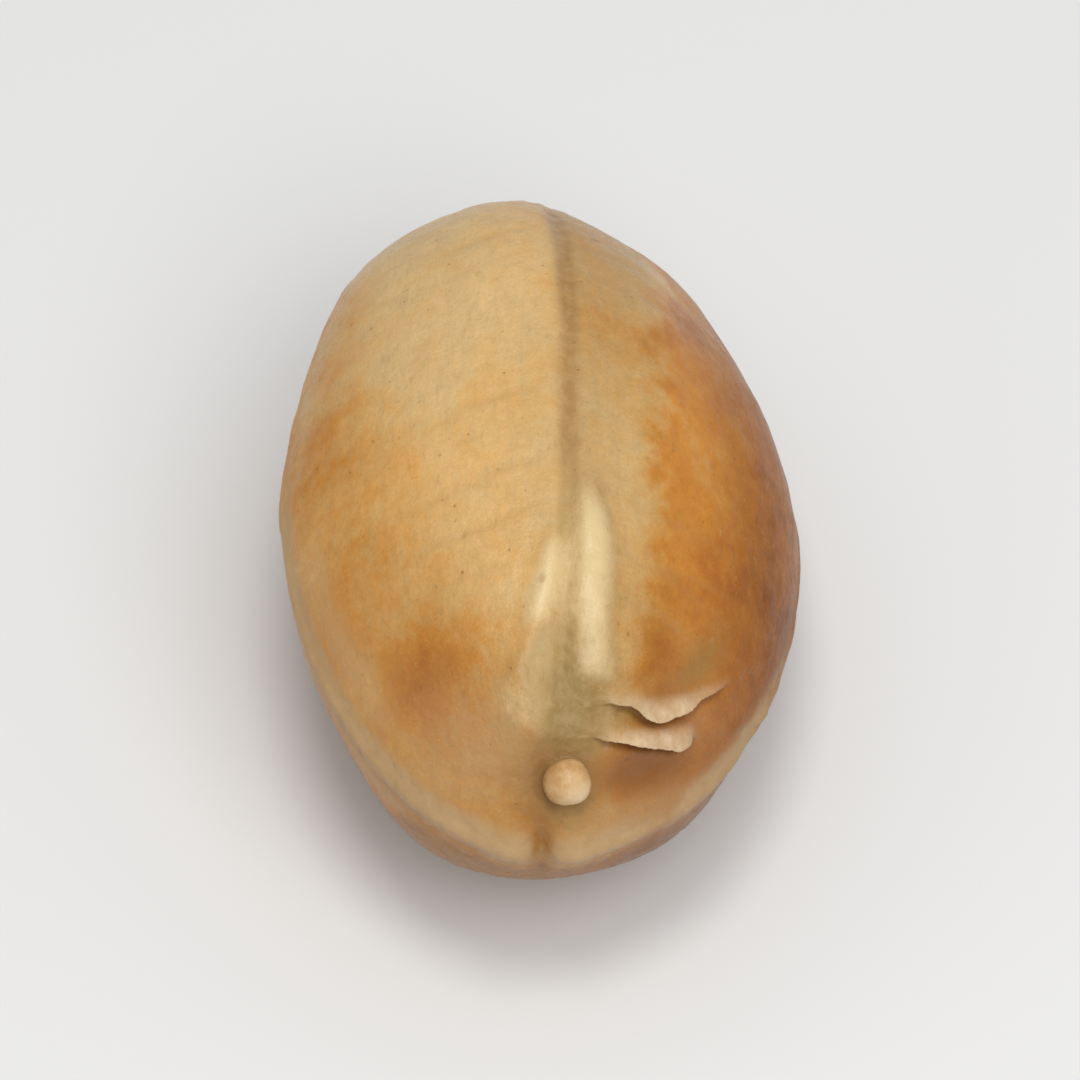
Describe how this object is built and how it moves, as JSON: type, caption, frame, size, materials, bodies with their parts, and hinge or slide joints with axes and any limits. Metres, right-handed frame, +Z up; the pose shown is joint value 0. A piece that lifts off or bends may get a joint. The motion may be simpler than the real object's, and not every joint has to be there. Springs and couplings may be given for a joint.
{
  "type": "purging croton seed",
  "caption": "Dried purging croton seed: an oblong oval with a rounded back, a flatter face with a raised raphe, lateral keels and a pale bead at the hilum end.",
  "frame": {"origin": "middle of the underside, on the surface that the seed lies on", "axes": "+Y along the seed from the hilum end to the chalaza end; +Z up, out of the face with the raphe; +X to the right of someone looking along +Y"},
  "size_m": [0.0084, 0.0128, 0.0072],
  "materials": {
    "seed_coat": "satin"
  },
  "bodies": {
    "root": {"croton_seed": "seed_coat"}
  },
  "joints": []
}
